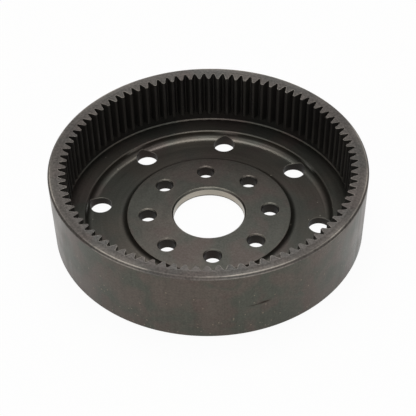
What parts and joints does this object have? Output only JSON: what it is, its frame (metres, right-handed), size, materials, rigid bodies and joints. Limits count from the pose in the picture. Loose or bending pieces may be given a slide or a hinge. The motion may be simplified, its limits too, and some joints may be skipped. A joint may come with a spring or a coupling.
{
  "type": "internal ring gear",
  "caption": "Drum shaped internal ring gear: inward spur teeth, closed back plate with a raised bored hub and rings of bolt holes.",
  "frame": {"origin": "middle of the back face, on the gear's axis", "axes": "+Z along the gear's axis out of the open side, +X through the middle of a hub bolt hole"},
  "size_m": [0.3, 0.3, 0.0775],
  "materials": {
    "phosphated_steel": "turned and phosphated, dark satin"
  },
  "bodies": {
    "root": {"internal_ring_gear": "phosphated_steel"}
  },
  "joints": []
}
